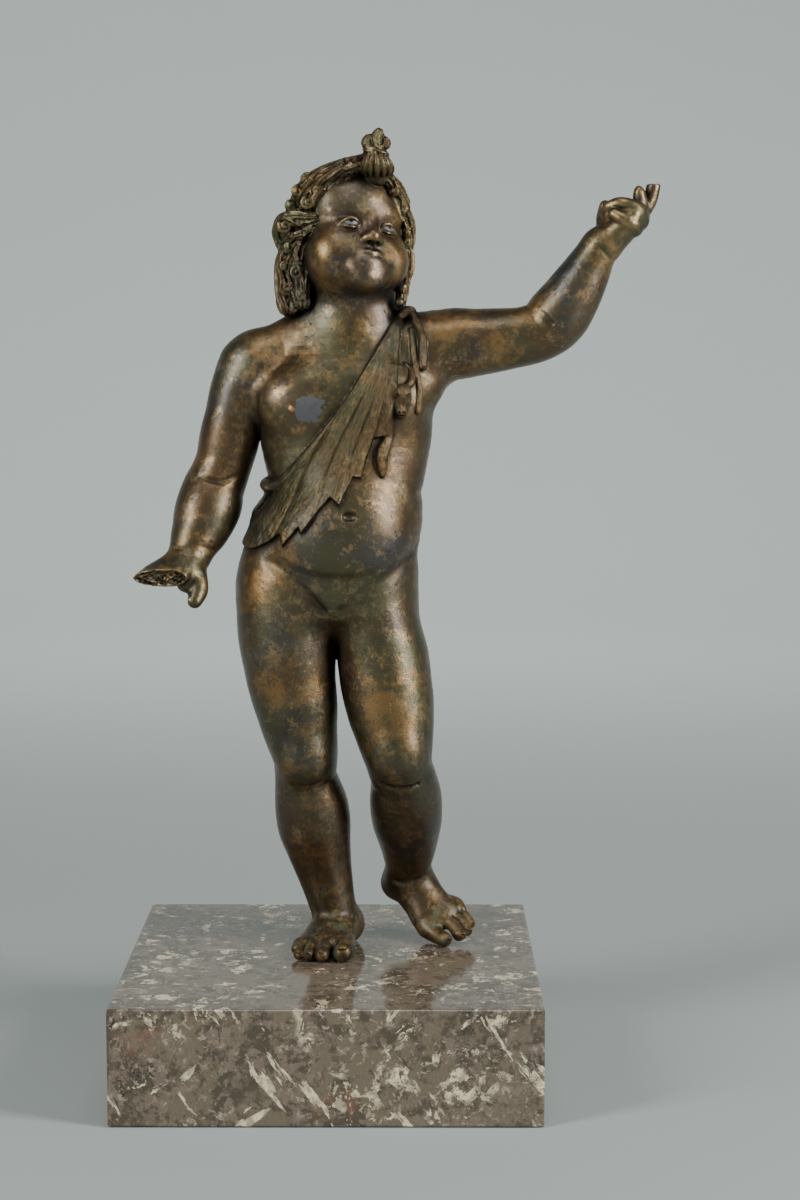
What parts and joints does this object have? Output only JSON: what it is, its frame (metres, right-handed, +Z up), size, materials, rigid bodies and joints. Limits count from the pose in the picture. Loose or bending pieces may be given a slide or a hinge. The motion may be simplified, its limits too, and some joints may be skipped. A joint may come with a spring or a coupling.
{
  "type": "infant bacchus statue",
  "caption": "Bronze statue of a standing infant with a fawn skin and a topknot, left arm raised, on a square marble plinth.",
  "frame": {"origin": "centre of the plinth's underside", "axes": "+Z up, -Y the way the figure faces, +X to the viewer's right, the side of the raised arm"},
  "size_m": [0.375, 0.29, 0.6625],
  "materials": {
    "bronze": "dark brown and olive patina with rubbed golden highlights",
    "silver": "tarnished silver inlay with dark pupils",
    "marble": "polished grey-brown fossil marble with pale fragments"
  },
  "bodies": {
    "root": {"bacchus_figure": "bronze", "right_eye_inlay": "silver", "left_eye_inlay": "silver", "marble_plinth": "marble"}
  },
  "joints": []
}
